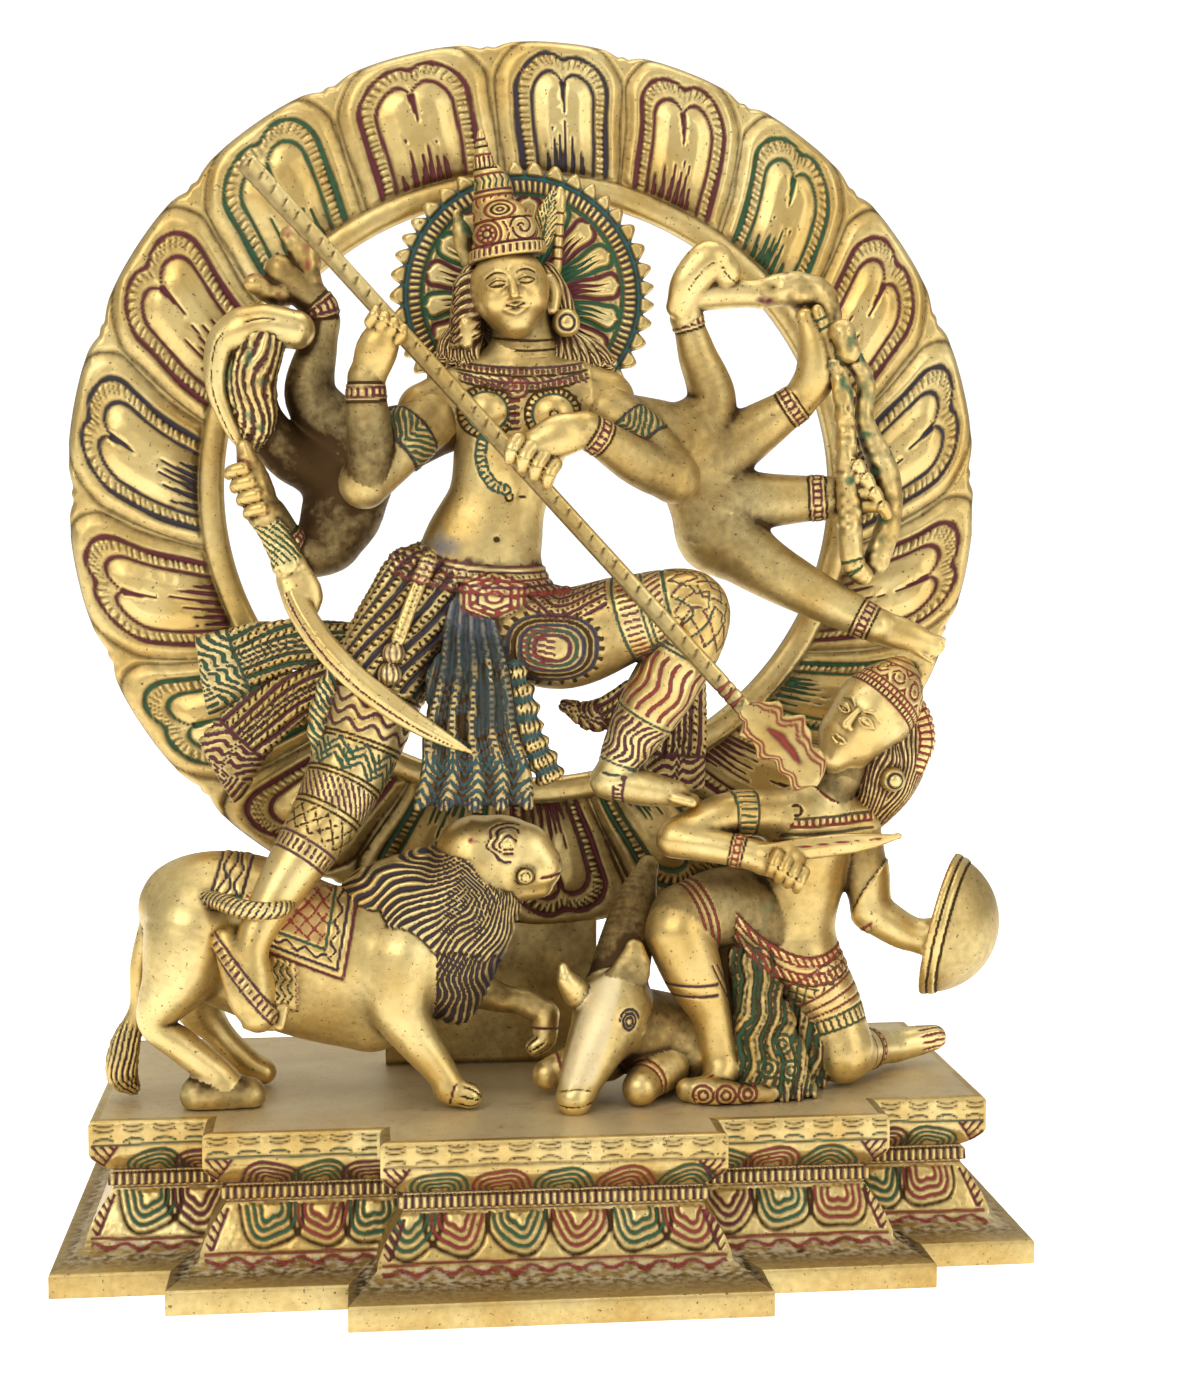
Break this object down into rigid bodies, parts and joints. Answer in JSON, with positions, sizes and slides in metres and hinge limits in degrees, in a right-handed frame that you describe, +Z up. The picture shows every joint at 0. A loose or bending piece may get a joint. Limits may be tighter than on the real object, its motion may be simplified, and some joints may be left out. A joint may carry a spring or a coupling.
{
  "type": "durga figure",
  "caption": "Cast brass figure of Durga with her lion and the kneeling buffalo demon, in front of a petalled ring on a stepped lotus plinth.",
  "frame": {"origin": "on the floor, under the middle of the whole part's bounding box", "axes": "+Z up, +Y away from the viewer through the ring, +X to the viewer's right"},
  "size_m": [0.2953, 0.167, 0.3798],
  "materials": {
    "plinth_brass": "polished antique brass, worn bright on the high spots, brown patina and maroon, red and green paint in the engraved lines",
    "aureole_brass": "polished antique brass with maroon, red, green and blue-black paint in the petal grooves, plainer and browner behind",
    "figure_brass": "polished antique brass with brown patina in the hollows and maroon, green and blue-black paint in the carving"
  },
  "bodies": {
    "root": {"plinth": "plinth_brass", "aureole": "aureole_brass", "trident": "figure_brass", "lion": "figure_brass", "demon_and_buffalo": "figure_brass", "durga": "figure_brass"}
  },
  "joints": []
}
